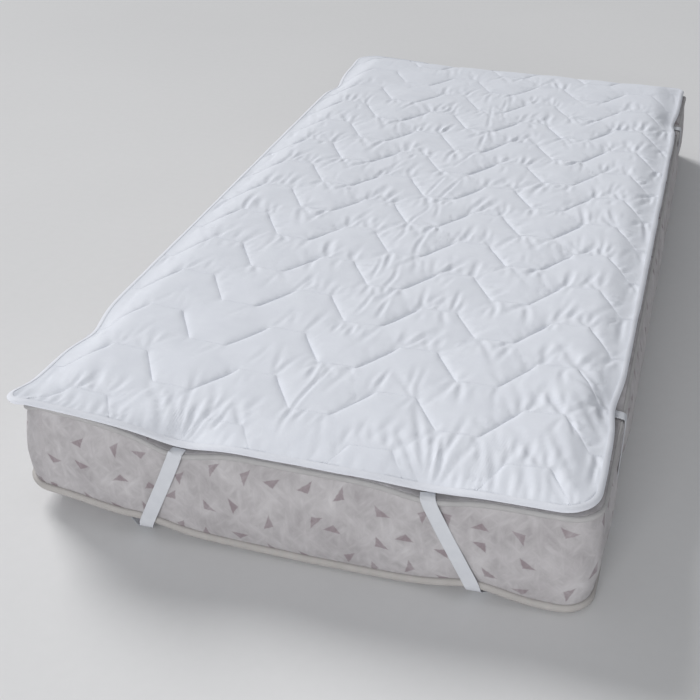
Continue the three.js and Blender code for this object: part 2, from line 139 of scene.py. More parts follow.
def newPiece(name, points, faces, material, uv=None):
    mesh = bpy.data.meshes.new(name)
    mesh.from_pydata((np.asarray(points) * mm).tolist(), [], faces)
    if uv is not None:
        layer = mesh.uv_layers.new(name="cloth")
        loops = np.empty(len(mesh.loops), int)
        mesh.loops.foreach_get("vertex_index", loops)
        layer.data.foreach_set("uv", (np.asarray(uv)[loops] * mm).ravel())
    mesh.polygons.foreach_set("use_smooth", [True] * len(mesh.polygons))
    mesh.materials.append(material)
    mesh.validate()
    mesh.set_sharp_from_angle(angle=math.radians(sharpAngle))
    obj = bpy.data.objects.new(name, mesh)
    bpy.context.collection.objects.link(obj)
    return obj


# Joins rows of points, each row closed on itself
def stripFaces(rows, across):
    faces = []
    for i in range(rows - 1):
        a, b = i * across, (i + 1) * across
        for k in range(across):
            n = (k + 1) % across
            faces.append((a + k, a + n, b + n, b + k))
    return faces


# Stations round a rectangle with rounded corners, anticlockwise from the near left one
def roundedWalk(halfX, halfY, radii, step):
    spots = []
    for i, corner in enumerate(corners):
        n = (i + 1) % len(corners)
        out = [(0, -1), (1, 0), (0, 1), (-1, 0)][i]
        hub = lambda c, r: np.array([c["sx"] * (halfX - r), c["sy"] * (halfY - r)])
        start = hub(corner, radii[i]) + radii[i] * np.array(out)
        end = hub(corners[n], radii[n]) + radii[n] * np.array(out)
        count = round(np.linalg.norm(end - start) / step)
        spots += [(*mix(start, end, k / count), *out) for k in range(count + 1)]
        turns = max(6, round(radii[n] * math.pi / 2 / step))
        for k in range(1, turns):
            angle = math.atan2(out[1], out[0]) + math.pi / 2 * k / turns
            away = np.array([math.cos(angle), math.sin(angle)])
            spots.append((*(hub(corners[n], radii[n]) + radii[n] * away), *away))
    spots = np.array(spots)
    steps = np.linalg.norm(np.diff(spots[:, :2], axis=0, append=spots[:1, :2]), axis=1)
    return {"x": spots[:, 0], "y": spots[:, 1], "outX": spots[:, 2], "outY": spots[:, 3],
            "s": np.concatenate([[0], np.cumsum(steps)[:-1]]), "round": float(steps.sum())}


# A closed band of rings: each ring is a closed walk, and the last ring joins the first
def ringPiece(name, rings, material, uv):
    count, across = len(rings), len(rings[0])
    total = count * across
    faces = [tuple(p % total for p in face) for face in stripFaces(count + 1, across)]
    return newPiece(name, np.concatenate(rings), faces, material, uv)


# A tube of rings along a way, closed at both ends
def tubePiece(name, rings, material, uv=None):
    rows, across = rings.shape[:2]
    faces = [face[::-1] for face in stripFaces(rows, across)]
    faces.append(tuple(range(across)))
    faces.append(tuple(range((rows - 1) * across, rows * across))[::-1])
    return newPiece(name, rings.reshape(-1, 3), faces, material, uv)


# Quilted pad: a sheet over the filling, held along the sewn lines and puffed up between them
quilt = {
    "waveFlat": 64,
    "waveSlope": 49,
    "waveRise": 85,
    "seamPitch": 148,
    "seamCount": 13,
    "firstSeam": -1034,
    "bow": 0.00016,  # the sewn lines bow towards the far end at the sides
    "seam": 14.5,  # height above the underside at a sewn line
    "relief": 4.2,  # how far the cloth rises beside a sewn line
    "groove": 5.6,  # width over which it rises
    "flatHold": 0.18,  # share of that beside the flat stretches, which are hardly drawn in
    "dome": 2.2,  # and how much more to the middle of a channel
    "edgeTaper": 70,
    "edgeTop": 7.6,  # just under the binding's upper edge
    "lip": 1.2,  # zone under the binding, where the pad drops to its rim
    "rimTop": 4.6,  # the rim is the thin edge that the binding folds over
    "rimMiddle": 3.4,
    "rimBottom": 2.2,
    "rimReach": 5.2,
    "columnStep": 3.1,
    "rowSteps": (0, 1.5, 3.5, 6.5, 11, 17, 24.5, 33, 42, 51.5, 62),  # from a sewn line to mid channel
    "closest": 2,
    "unevenRelief": 0.3,
    "farRelief": 0.7,  # the relief is lower towards the far end
    "waves": (0.8, 105, 0.35, 43),  # height and size of two soft unevennesses over the whole pad
    "threadRise": 0.25,
}
# Small puckers across the flat stretches of the sewn lines
puckers = {
    "every": 10.5,
    "length": (36, 84),
    "width": (4.6, 7),
    "depth": (0.8, 3.2),
    "deepest": 3,  # where several meet
    "away": (-4, 20),  # from the sewn line
    "lean": 0.35,
    "bend": 0.3,
    "outer": 0.85,  # share that lies on the outer side of its flat
    "innerLength": 0.7,
    "upper": 1.1,  # depth on the upper flats of the wave
    "lower": 0.45,
    "edgeClear": (6, 8),  # none start this close to the pad's sides and ends
}
# Stretches that lie smoother than the rest: place, spread, how much smoother
calmSpots = ((-280, -620, 250, 0.62), (60, -800, 210, 0.5), (-330, 820, 240, 0.4), (300, 880, 170, 0.45))
# Softer puckers along the far side of the sloped stretches
slopePuckers = {
    "count": 5,
    "length": (22, 60),
    "width": (4.6, 7),
    "depth": (0.8, 3.4),
    "lean": 0.5,
}
# Folds that run on past the wave's corners, from the sloped stretch's own line round towards the flat's
cornerFolds = {
    "count": 5,
    "length": (34, 124),
    "width": (4.6, 7.4),
    "depth": (1.1, 3.8),
    "stray": 10,
    "sweep": 1.5,
    "bend": 0.25,
}
# Folds that a strap or a pull in the cloth makes
folds = [  # root on the flat pad, heading from +X, length, width, depth
    (-176, -992, 128, 170, 6.1, 3.9),
    (-172, -992, 112, 120, 4.8, 3.4),
    (-168, -992, 102, 200, 5.4, 3.1),
    (-164, -992, 88, 110, 4.8, 3.4),
    (-158, -992, 72, 150, 5.4, 3.9),
    (-152, -992, 54, 100, 5.4, 2.9),
    (198, -992, 122, 150, 5.4, 3.4),
    (204, -992, 108, 220, 6.1, 3.9),
    (208, -992, 97, 140, 4.8, 3.1),
    (214, -992, 84, 190, 5.4, 3.6),
    (220, -992, 66, 130, 5.4, 3.1),
    (440, -700, 152, 110, 8, 2.6),
    (440, -706, 128, 190, 9, 3.0),
    (440, -712, 198, 90, 8, 2.4),
    (436, -815, 118, 170, 9, 2.8),
    (400, -930, 112, 150, 9, 2.6),
    (352, -905, 128, 120, 9, 2.2),
    (-440, -712, 24, 120, 10, 1.5),
    (-440, -720, -22, 110, 10, 1.5),
    (-330, -905, 118, 110, 12, 1.2),
]
# Creases, most of them down the pad's middle
creases = [  # both ends on the flat pad, sway to the sides, width, depth
    (22, 122, 2, -26, 6, 3.9, 3.4),
    (-14, 134, -28, -14, 5, 3.4, 2.8),
    (16, 296, -10, 168, 4, 3.4, 2.5),
    (14, 440, 24, 312, 4, 4.3, 3.4),
    (-8, -30, -34, -266, 10, 3.9, 3.2),
    (4, -14, 18, -106, 3, 3.4, 3),
    (10, -160, 24, -318, 6, 4.3, 3.7),
    (16, -300, 40, -358, 3, 3.4, 3),
    (0, -334, 8, -476, 6, 4.3, 3.4),
    (-34, -318, -30, -426, 5, 3.9, 3.2),
    (-10, -470, -18, -566, 5, 3.9, 3),
    (20, -480, 18, -570, 5, 4.3, 3.4),
    (132, -424, 134, -506, 4, 4.3, 3.2),
    (-8, -596, -14, -644, 3, 4.3, 3.7),
    (-34, -596, -40, -638, 3, 4.3, 3.2),
    (-28, -746, -32, -802, 3, 4.7, 3.9),
    (-2, -730, -22, -850, 4, 3.4, 2.5),
    (-16, -752, -28, -950, 5, 3.4, 3),
    (86, -736, 76, -790, 3, 4.3, 3.7),
    (26, -748, 46, -784, 2, 3.9, 2.5),
    (-2, -874, -16, -920, 3, 3.4, 2.5),
    (210, -900, 222, -984, 4, 4.3, 3.2),
    (316, -874, 366, -934, 4, 6, 3.9),
    (366, -934, 392, -984, 3, 6, 3.4),
    (344, -848, 366, -908, 3, 5.2, 2.8),
    (376, -776, 390, -832, 3, 4.3, 3.2),
    (-124, -930, -150, -984, 3, 4.3, 3.2),
    (-236, -898, -196, -986, 5, 4.7, 4.1),
    (-214, -890, -204, -950, 3, 4.3, 2.8),
    (-114, -904, -124, -972, 3, 4.3, 2.5),
    (2, 560, 14, 460, 4, 3.9, 2.8),
    (20, 700, 26, 590, 4, 3.9, 2.5),
    (-6, 640, 4, 530, 4, 3.9, 2.3),
]
# Gathers along the near binding
gathers = [  # from, to, every, length, width, depth, heading
    (-428, -215, 14, 52, 5.2, 2.8, 112),
    (235, 420, 15, 54, 5.2, 2.0, 100),
    (270, 420, 42, 110, 8, 1.9, 108),
    (-110, 160, 36, 36, 7, 0.9, 92),
]
wavePeriod = 2 * (quilt["waveFlat"] + quilt["waveSlope"])


def waveFolded(u):
    along = np.abs(u) % wavePeriod
    return np.minimum(along, wavePeriod - along)


def waveAt(u):
    rise = np.clip((waveFolded(u) - quilt["waveFlat"] / 2) / quilt["waveSlope"], 0, 1)
    return quilt["waveRise"] * rise + quilt["bow"] * u ** 2


def channelPhase(u, v):
    return (v - waveAt(u) - quilt["firstSeam"]) / quilt["seamPitch"]


# Distance from a point of the flat pad to the nearest sewn line
def seamDistance(u, v):
    half = wavePeriod / 2
    folded = waveFolded(u)
    level = (v - quilt["firstSeam"] - quilt["bow"] * u ** 2) % quilt["seamPitch"]
    flat, slope, rise = quilt["waveFlat"] / 2, quilt["waveSlope"], quilt["waveRise"]
    knots = [(-flat - slope, rise), (-flat, 0), (flat, 0), (flat + slope, rise), (half + flat, rise),
             (half + flat + slope, 0)]
    best = np.full(np.shape(u), 1e9)
    for shift in (-2, -1, 0, 1):
        for (ax, ay), (bx, by) in zip(knots, knots[1:]):
            px, py = folded - ax, level - ay - shift * quilt["seamPitch"]
            dx, dy = bx - ax, by - ay
            t = np.clip((px * dx + py * dy) / (dx * dx + dy * dy), 0, 1)
            best = np.minimum(best, np.hypot(px - t * dx, py - t * dy))
    return best


def columnEnds(u):
    ends = []
    for sy in (-1, 1):
        radii = {c["sx"]: c["padRadius"] - padCut["bindingReach"] for c in corners if c["sy"] == sy}
        radius = np.where(u < 0, radii[-1], radii[1])
        into = np.maximum(0, np.abs(u) - (quiltX - radius))
        ends.append(sy * (quiltY - radius + np.sqrt(np.maximum(0, radius ** 2 - into ** 2))))
    return ends


def quiltHeight(u, v):
    away = seamDistance(u, v)
    folded, flat = waveFolded(u), quilt["waveFlat"] / 2
    slope = flat + quilt["waveSlope"]
    sloped = smooth(folded, flat - 6, flat + 9) * (1 - smooth(folded, slope - 9, slope + 6))
    uneven = 1 + quilt["unevenRelief"] * softNoise(u, v, 46, 5)
    relief = quilt["relief"] * mix(quilt["flatHold"], 1, sloped) * uneven
    relief = relief * mix(1, quilt["farRelief"], smooth(v, 300, 900))
    height = quilt["seam"] + relief * (1 - np.exp(-away / quilt["groove"]))
    height = height + quilt["relief"] - relief
    height = height + quilt["dome"] * smooth(away, 0, quilt["seamPitch"] / 2)
    near, far = columnEnds(u)
    inside = np.minimum(quiltX - np.abs(u), np.minimum(far - v, v - near))
    height = mix(quilt["edgeTop"], height, smooth(inside, 0, quilt["edgeTaper"]))
    return height - (quilt["edgeTop"] - quilt["rimTop"]) * (1 - smooth(inside, 0, quilt["lip"]))


def padColumns():
    knots = [0, quilt["waveFlat"] / 2]
    while knots[-1] < quiltX:
        knots.append(knots[-1] + quilt["waveSlope"])
        knots.append(knots[-1] + quilt["waveFlat"])
    lip = quiltX - quilt["lip"]
    knots = [k for k in knots if k < lip - quilt["closest"]] + [lip]
    half = [0.0]
    for a, b in zip(knots, knots[1:]):
        count = max(1, round((b - a) / quilt["columnStep"]))
        half += [mix(a, b, k / count) for k in range(1, count + 1)]
    half += [quiltX]
    return np.array(sorted([-u for u in half[1:]] + half))


def padGrid():
    columns = padColumns()
    steps = quilt["rowSteps"]
    channel = list(steps) + [quilt["seamPitch"] / 2] + [quilt["seamPitch"] - s for s in steps[:0:-1]]
    perChannel = len(channel)
    rows = np.array([quilt["seamPitch"] * k + s for k in range(-1, quilt["seamCount"] + 1) for s in channel])
    isSeam = np.arange(len(rows)) % perChannel == 0
    u = np.repeat(columns[:, None], len(rows), 1)
    v = quilt["firstSeam"] + rows[None, :] + waveAt(u)
    near, far = columnEnds(columns)
    clear = quilt["lip"] + quilt["closest"]
    first = np.argmax(v > (near + clear)[:, None], axis=1) - 2  # row that stands at the near edge
    last = v.shape[1] + 1 - np.argmax((v < (far - clear)[:, None])[:, ::-1], axis=1)
    points, index, sewn = [], np.empty(v.shape, int), []
    count = 0
    for c, a in enumerate(columns):
        line = v[c, first[c]:last[c] + 1].copy()
        line[:2] = near[c], near[c] + quilt["lip"]
        line[-2:] = far[c] - quilt["lip"], far[c]
        index[c] = count + np.clip(np.arange(len(rows)), first[c], last[c]) - first[c]
        points.append(np.stack([np.full(len(line), a), line], 1))
        inner = np.zeros(len(line), bool)
        inner[2:-2] = isSeam[first[c] + 2:last[c] - 1]
        sewn.append(inner)
        count += len(line)
    faces = []
    for c in range(len(columns) - 1):
        low = min(first[c], first[c + 1])
        high = max(last[c], last[c + 1])
        for r in range(low, high):
            ring = [index[c, r], index[c + 1, r], index[c + 1, r + 1], index[c, r + 1]]
            ring = [p for k, p in enumerate(ring) if p != ring[k - 1]]
            if len(ring) > 2:
                faces.append(tuple(int(p) for p in ring))
    bottom, top = index[:, 0], index[:, -1]
    right, left = index[-1, first[-1]:last[-1] + 1], index[0, first[0]:last[0] + 1]
    edge = list(bottom) + list(right[1:]) + list(top[::-1][1:]) + list(left[::-1][1:-1])
    return np.concatenate(points), faces, np.concatenate(sewn), [int(p) for p in edge]


# How puckered the cloth is: most in the middle and to the right, less in the calm spots and at the far end
def puckerShare(u, v):
    share = 0.85 + 0.15 * smooth(u, -300, 300) + 0.25 * bell(u - 10, 140)
    share = share + 0.15 * bell(np.hypot(u, v - 60), 420)
    for x, y, spread, less in calmSpots:
        share = share - less * bell(np.hypot(u - x, v - y), spread)
    share = share - 0.3 * smooth(v, 500, 850)
    return np.clip(share, 0.1, 1.2)


# A crease in the cloth: a sharp trough with soft lips, fading out along its way or towards both ends
creaseShape = {
    "sharp": 1.25,
    "lip": 0.36,  # height of the soft lips, as a share of the depth
    "lipAt": 1.6,
    "lipWidth": 0.9,
    "taper": (0.75, 1.25),
}


def addCrease(height, u, v, root, heading, length, width, depth, bend=0.0, both=False):
    dx, dy = math.cos(heading), math.sin(heading)
    near = np.flatnonzero((np.abs(u - root[0] - dx * length / 2) < length)
                          & (np.abs(v - root[1] - dy * length / 2) < length))
    along = ((u[near] - root[0]) * dx + (v[near] - root[1]) * dy) / length
    across = -(u[near] - root[0]) * dy + (v[near] - root[1]) * dx
    inside = (along > 0) & (along < 1)
    near, along, across = near[inside], along[inside], across[inside]
    t = np.abs(across - bend * length * along * (1 - along)) / (width * mix(*creaseShape["taper"], along))
    fade = np.sin(math.pi * along) ** 0.8 if both else smooth(along, -0.1, 0.3) * (1 - smooth(along, 0.4, 1))
    lips = creaseShape["lip"] * bell(t - creaseShape["lipAt"], creaseShape["lipWidth"])
    height[near] += depth * fade * (lips - np.exp(-creaseShape["sharp"] * t))


def nearEdge(x, y):
    clearX, clearY = puckers["edgeClear"]
    return abs(x) > quiltX - clearX or abs(y) > quiltY - clearY


def puckered(u, v, height):
    rng = np.random.default_rng(seed)
    out = height.copy()
    count = 0
    flat = quilt["waveFlat"] / 2
    for seam in range(quilt["seamCount"] + 1):
        level = lambda x: quilt["firstSeam"] + quilt["seamPitch"] * seam + float(waveAt(x))
        for step in range(-4, 5):
            middle = step * wavePeriod / 2
            way = -1 if step % 2 == 0 else 1  # the outer side of this flat
            share = float(puckerShare(middle, level(middle)))
            most = min(1, share)
            onFlat = puckers["upper" if way > 0 else "lower"]
            for side in np.arange(-flat - 8, flat + 9, puckers["every"]):
                draw = rng.uniform(size=9)
                x = middle + side + puckers["every"] * (draw[0] - 0.5)
                if nearEdge(x, level(x)) or draw[1] > share + 0.1:
                    continue
                outer = draw[7] < puckers["outer"]
                heading = (way if outer else -way) * math.pi / 2 + puckers["lean"] * (draw[2] * 2 - 1)
                length = mix(*puckers["length"], draw[3] ** 1.4) * (1 if outer else puckers["innerLength"])
                width = mix(*puckers["width"], draw[4])
                depth = mix(*puckers["depth"], draw[5] ** 1.3) * most * onFlat
                off = mix(*puckers["away"], draw[8])
                root = (x + off * math.cos(heading), level(x) + off * math.sin(heading))
                bend = puckers["bend"] * (draw[6] * 2 - 1)
                addCrease(out, u, v, root, heading, length, width, depth, bend, True)
                count += 1
            for hand in (-1, 1):
                root = (middle + hand * flat, level(middle + hand * flat))
                if nearEdge(*root):
                    continue
                ahead = math.atan2(way * quilt["waveRise"], -hand * quilt["waveSlope"])
                for k in range(cornerFolds["count"]):
                    draw = rng.uniform(size=7)
                    if draw[0] > share * (1.1 - 0.15 * k):
                        continue
                    side = root[0] - hand * cornerFolds["stray"] * draw[6]
                    heading = ahead - way * hand * cornerFolds["sweep"] * (draw[1] ** 1.6 - 0.06)
                    length = mix(*cornerFolds["length"], draw[2] ** 1.5)
                    width = mix(*cornerFolds["width"], draw[3])
                    depth = mix(*cornerFolds["depth"], draw[4]) * most
                    bend = cornerFolds["bend"] * (draw[5] * 2 - 1)
                    addCrease(out, u, v, (side, level(side)), heading, length, width, depth, bend)
                    count += 1
            for k in range(slopePuckers["count"]):
                draw = rng.uniform(size=6)
                x = middle + flat + quilt["waveSlope"] * (k + draw[0]) / slopePuckers["count"]
                if nearEdge(x, level(x)) or draw[1] > share + 0.1:
                    continue
                across = math.atan2(quilt["waveSlope"], way * quilt["waveRise"])
                heading = across + slopePuckers["lean"] * (draw[2] * 2 - 1)
                length = mix(*slopePuckers["length"], draw[3])
                width = mix(*slopePuckers["width"], draw[4])
                depth = mix(*slopePuckers["depth"], draw[5]) * most
                addCrease(out, u, v, (x, level(x)), heading, length, width, depth)
                count += 1
    for x, y, heading, length, width, depth in folds:
        addCrease(out, u, v, (x, y), math.radians(heading), length, width, depth)
    for x, end, every, length, width, depth, heading in gathers:
        while x < end:
            draw = rng.uniform(size=4)
            turned = math.radians(heading + 22 * (draw[0] - 0.5))
            addCrease(out, u, v, (x, -quiltY), turned, length * mix(0.6, 1.3, draw[1]),
                      width * mix(0.8, 1.2, draw[2]), depth * mix(0.5, 1.2, draw[3]))
            x += every * rng.uniform(0.7, 1.35)
    for ax, ay, bx, by, sway, width, depth in creases:
        wave = sway * np.sin((v - ay) / 26) * 0.4 + sway * 0.6 * softNoise(v, v * 0 + ax, 40, 8)
        heading, length = math.atan2(by - ay, bx - ax), math.hypot(bx - ax, by - ay)
        addCrease(out, u + wave, v, (ax, ay), heading, length, width, depth, 0.0, True)
    deep = height - out
    out = height - np.where(deep > 0, puckers["deepest"] * np.tanh(deep / puckers["deepest"]), deep)
    wide, wideSize, fine, fineSize = quilt["waves"]
    out += wide * softNoise(u, v, wideSize, 1) + fine * softNoise(u, v, fineSize, 2)
    print("puckers:", count)
    near, far = columnEnds(u)
    inside = np.minimum(quiltX - np.abs(u), np.minimum(far - v, v - near))
    keep = smooth(inside, quilt["lip"], 9) * mix(0.5, 1, smooth(seamDistance(u, v), 0, 6))
    return mix(height, out, keep)


def quiltedPad(material):
    flat, faces, sewn, edge = padGrid()
    print("pad grid:", len(flat), "points", len(faces), "faces")
    base = quiltHeight(flat[:, 0], flat[:, 1])
    shaped = np.column_stack([flat, puckered(flat[:, 0], flat[:, 1], base)])
    top = layPad(shaped[:, 0], shaped[:, 1], shaped[:, 2])
    ring = flat[edge]
    before, after = np.roll(ring, 1, 0), np.roll(ring, -1, 0)
    along = after - before
    out = np.stack([along[:, 1], -along[:, 0]], 1) / np.linalg.norm(along, axis=1)[:, None]
    reach = ring + out * quilt["rimReach"]
    inner = ring * (1 - padCut["margin"] / np.array([quiltX, quiltY]))
    rings = [
        layPad(reach[:, 0], reach[:, 1], quilt["rimMiddle"]),
        layPad(ring[:, 0], ring[:, 1], quilt["rimBottom"]),
        layPad(inner[:, 0], inner[:, 1], 0.0),
    ]
    points = np.concatenate([top] + rings + [layPad(np.zeros(1), np.zeros(1), 0.0)])
    uv = np.concatenate([flat, reach, ring, inner, [[0, 0]]])
    loops = [edge] + [list(range(len(top) + k * len(edge), len(top) + (k + 1) * len(edge))) for k in range(3)]
    hub = len(points) - 1
    for a, b in zip(loops, loops[1:]):
        for k in range(len(edge)):
            n = (k + 1) % len(edge)
            faces.append((a[k], b[k], b[n], a[n]))
    for k in range(len(edge)):
        faces.append((loops[-1][k], hub, loops[-1][(k + 1) % len(edge)]))
    obj = newPiece("quiltedPad", points, faces, material, uv)
    lines = []
    rise = np.array([0, 0, quilt["threadRise"]])
    for seam in range(quilt["seamCount"] + 1):
        onLine = np.flatnonzero(sewn & (np.round(channelPhase(flat[:, 0], flat[:, 1])) == seam))
        onLine = onLine[np.argsort(flat[onLine, 0])]
        breaks = np.flatnonzero(np.diff(flat[onLine, 0]) > 3 * quilt["columnStep"]) + 1
        lines += [top[part] + rise for part in np.split(onLine, breaks) if len(part) > 3]
    return obj, lines


# Edge binding: a tape folded over the pad's rim, its section as steps out from the quilted edge and up
binding = {
    "section": ((-1.3, 7.9), (-1.3, 8.1), (1, 8), (3.6, 7.3), (6.2, 5.8), (8, 3.6), (7.4, 1.4), (5.4, 0),
                (2.8, -0.4), (0.6, -0.2), (0.6, 0.9), (4.2, 1.7), (6.1, 3.4), (4.2, 5.1), (0.6, 6.2)),
    "step": 6,
    "wander": 0.7,  # how far the edge strays from a true line
    "crush": 0.5,  # how much the fold's height changes
    "sewnAt": 7.9,
}


def edgeBinding(material):
    radii = [c["padRadius"] - padCut["bindingReach"] for c in corners]
    walk = roundedWalk(quiltX, quiltY, radii, binding["step"])
    stray = binding["wander"] * softNoise(walk["s"], walk["s"] * 0, 55, 11)
    crush = binding["crush"] * softNoise(walk["s"], walk["s"] * 0 + 40, 24, 12)
    rings, uv = [], []
    width = 0
    for k, (out, up) in enumerate(binding["section"]):
        far = out + stray * smooth(out, 1, 8)
        rise = up + crush * (1 if up > 3.4 else -0.4) * smooth(out, 0, 3)
        rings.append(layPad(walk["x"] + walk["outX"] * far, walk["y"] + walk["outY"] * far, rise))
        before = binding["section"][k - 1] if k else (out, up)
        width += math.hypot(out - before[0], up - before[1])
        uv.append(np.stack([walk["s"], np.full(len(stray), width)], 1))
    obj = ringPiece("edgeBinding", rings[::-1], material, np.concatenate(uv[::-1]))
    sewn = layPad(walk["x"], walk["y"], binding["sewnAt"])
    return obj, [np.concatenate([sewn, sewn[:1]])], (width / 2, walk["round"])


# Mattress: plain body with a bulging border between two taped edges
bed = {
    "height": 175,
    "bulge": 14,
    "topTape": 168.4,
    "bottomTape": 9.5,
    "topTapeWidth": 9,
    "bottomTapeWidth": 12,
    "tapeProud": 5.5,
    "topShoulder": 73,
    "shoulderInset": 25,
    "shoulderDrop": 1.6,
    "bottomShoulder": 42,
    "curlInset": 22,
    "curlShare": 0.45,
    "tapeRoll": 3,
    "tapeLand": 0.5,
    "tapeDip": 13,
    "tapeLift": 14,
    "strapFlatten": 9.5,
    "cornerFlatten": 8,
    "cornerFlattenSpread": 130,
    "cornerSpread": 240,
    "insetSpread": 160,
    "topTapeShare": 0.7,
    "borderRows": 18,
    "step": 7,
    "rumple": 1.3,
    "cornerRipple": (1.2, 15),  # depth and size of the ripples round a corner
    "strapRoom": 6.2,  # the border is pressed in to this under a strap
    "roomSlope": 0.28,  # and stands out again by this much for each step beside it
    "hub": (40, 150),  # where the flat faces meet, clear of the channels
    "tapeUneven": (0.35, 40, 0.1, 26),  # rise and puff of the tapes, each with its size
    "tapeInside": 0.3,
}
strapSize = {
    "width": 22,
    "thick": 1.5,
    "out": 7.8,
    "floor": 1,
    "channel": 0.5,
    "cords": 13,  # rubber cords that show as ribs along the strap
    "ribDepth": 0.22,
    "step": 5,
    "rimOut": 5.9,  # where it is sewn under the pad's rim
    "rimDrop": 0.6,
}


def bedStations(step):
    walk = roundedWalk(halfWidth, halfLength, [c["bedRadius"] for c in corners], step)
    x, y = walk["x"], walk["y"]
    for corner in corners:
        apart = np.hypot(x - corner["sx"] * halfWidth, y - corner["sy"] * halfLength)
        inset = corner["bedInset"] * bell(apart, bed["insetSpread"])
        x, y = x - corner["sx"] * inset, y - corner["sy"] * inset
    walk["x"], walk["y"] = x, y
    walk["round"] = float(np.hypot(x - np.roll(x, 1), y - np.roll(y, 1)).sum())
    pullAt = lambda spots: np.max([bell(np.hypot(x - p["x"], y - p["y"]), pulls["spread"]) for p in spots], 0)
    topPull, footPull = pullAt(edgePulls), pullAt(footPulls)
    away = [np.hypot(x - c["sx"] * halfWidth, y - c["sy"] * halfLength) for c in corners]
    lifts = [c["bedLift"] * bell(d, bed["cornerSpread"]) for c, d in zip(corners, away)]
    cornerLift = np.max(lifts, 0)
    cornerShare = bell(np.min(away, 0), bed["cornerFlattenSpread"])
    endShare = walk["outY"] ** 2
    droopX = np.where(walk["outX"] < 0, sides["left"]["droop"], sides["right"]["droop"])
    droopY = np.where(walk["outY"] < 0, sides["near"]["droop"], sides["far"]["droop"])
    facing = lambda key: smooth(np.abs(walk[key]), 0, 0.4)
    droop = np.maximum(droopX * facing("outX"), droopY * facing("outY"))
    raised = bed["topTapeShare"] * cornerLift * endShare * (1 - topPull)
    walk["dip"] = droop + bed["tapeDip"] * topPull - raised
    walk["lift"] = np.hypot(bed["tapeLift"] * footPull, cornerLift)
    walk["top"] = bed["topTape"] - walk["dip"]
    walk["bottom"] = bed["bottomTape"] + walk["lift"]
    pressed = bed["strapFlatten"] * np.maximum(topPull, footPull)
    walk["bulge"] = bed["bulge"] - np.maximum(pressed, bed["cornerFlatten"] * cornerShare)
    walk["corner"] = cornerShare
    return walk


def bedRing(walk, out, height):
    return np.stack([walk["x"] + walk["outX"] * out, walk["y"] + walk["outY"] * out,
                     np.broadcast_to(height, walk["x"].shape)], 1)


# How far the border may stand out beside the straps that press it in
def strapLimit(walk, share):
    limit = np.full(len(walk["x"]), 99.0)
    for corner in corners:
        slant = np.clip((1 - share) * 0.9 + 0.05, 0, 1)
        spotX = corner["sx"] * mix(corner["edgeX"], corner["footX"], slant)
        spotY = corner["sy"] * mix(corner["edgeY"], corner["footY"], slant)
        onEnd = np.where(walk["outY"] * corner["sy"] > 0.99, np.abs(walk["x"] - spotX), 999)
        onSide = np.where(walk["outX"] * corner["sx"] > 0.99, np.abs(walk["y"] - spotY), 999)
        beside = np.minimum(onEnd, onSide) - strapSize["width"] / 2
        limit = np.minimum(limit, bed["strapRoom"] + bed["roomSlope"] * np.maximum(0, beside - 2))
    return limit


def mattressBody(material):
    walk = bedStations(bed["step"])
    zero = np.zeros(len(walk["x"]))
    bottomLand = bed["bottomTapeWidth"] / 2 + bed["tapeLand"]
    topLand = bed["topTapeWidth"] / 2 + bed["tapeLand"]
    levels = [
        (zero - bed["bottomShoulder"], zero),
        (zero - bed["curlInset"], bed["tapeLand"] + bed["curlShare"] * walk["lift"]),
        (zero - bed["tapeRoll"], walk["bottom"] - bed["bottomTapeWidth"] / 2 - bed["tapeRoll"]),
        (zero, walk["bottom"] - bottomLand),
        (zero, walk["bottom"] + bottomLand),
    ]
    low, high = walk["bottom"] + bottomLand, walk["top"] - topLand
    rippleDepth, rippleSize = bed["cornerRipple"]
    for k in range(1, bed["borderRows"]):
        share = k / bed["borderRows"]
        out = walk["bulge"] * math.sin(math.pi * share) ** 0.6
        rumple = softNoise(walk["s"], zero + share * 150, 46, 21)
        rumple = rumple + 0.6 * softNoise(walk["s"], zero + share * 90, 19, 22)
        out = out + bed["rumple"] * math.sin(math.pi * share) ** 0.5 * rumple
        ripple = np.sin(walk["s"] / rippleSize + 3 * share) ** 2
        out = out - rippleDepth * walk["corner"] * math.sin(math.pi * share) * ripple
        levels.append((np.minimum(out, strapLimit(walk, share)), mix(low, high, share)))
    shoulder = bed["height"] - bed["shoulderDrop"] - np.maximum(0, walk["dip"])
    levels += [
        (zero, walk["top"] - topLand),
        (zero, walk["top"] + topLand),
        (zero - bed["tapeRoll"], walk["top"] + topLand + bed["tapeLand"]),
        (zero - bed["shoulderInset"], shoulder),
    ]
    rings = [bedRing(walk, out, height) for out, height in levels]
    flatX, flatY = halfWidth - bed["topShoulder"], halfLength - bed["topShoulder"]
    flat = [np.clip(walk["x"], -flatX, flatX), np.clip(walk["y"], -flatY, flatY), zero + bed["height"]]
    rings.append(np.stack(flat, 1))
    across = len(zero)
    faces = stripFaces(len(rings), across)
    points = np.concatenate(rings + [[(*bed["hub"], 0), (*bed["hub"], bed["height"])]])
    hubLow, hubHigh = len(points) - 2, len(points) - 1
    top = (len(rings) - 1) * across
    for k in range(across):
        n = (k + 1) % across
        faces.append((n, k, hubLow))
        faces.append((top + k, top + n, hubHigh))
    down = np.cumsum([0] + [np.linalg.norm(b - a, axis=1).mean() for a, b in zip(rings, rings[1:])])
    uv = np.concatenate([np.stack([walk["s"], zero + d], 1) for d in down] + [[[0, -600], [0, 900]]])
    return newPiece("mattressBody", points, faces, material, uv)


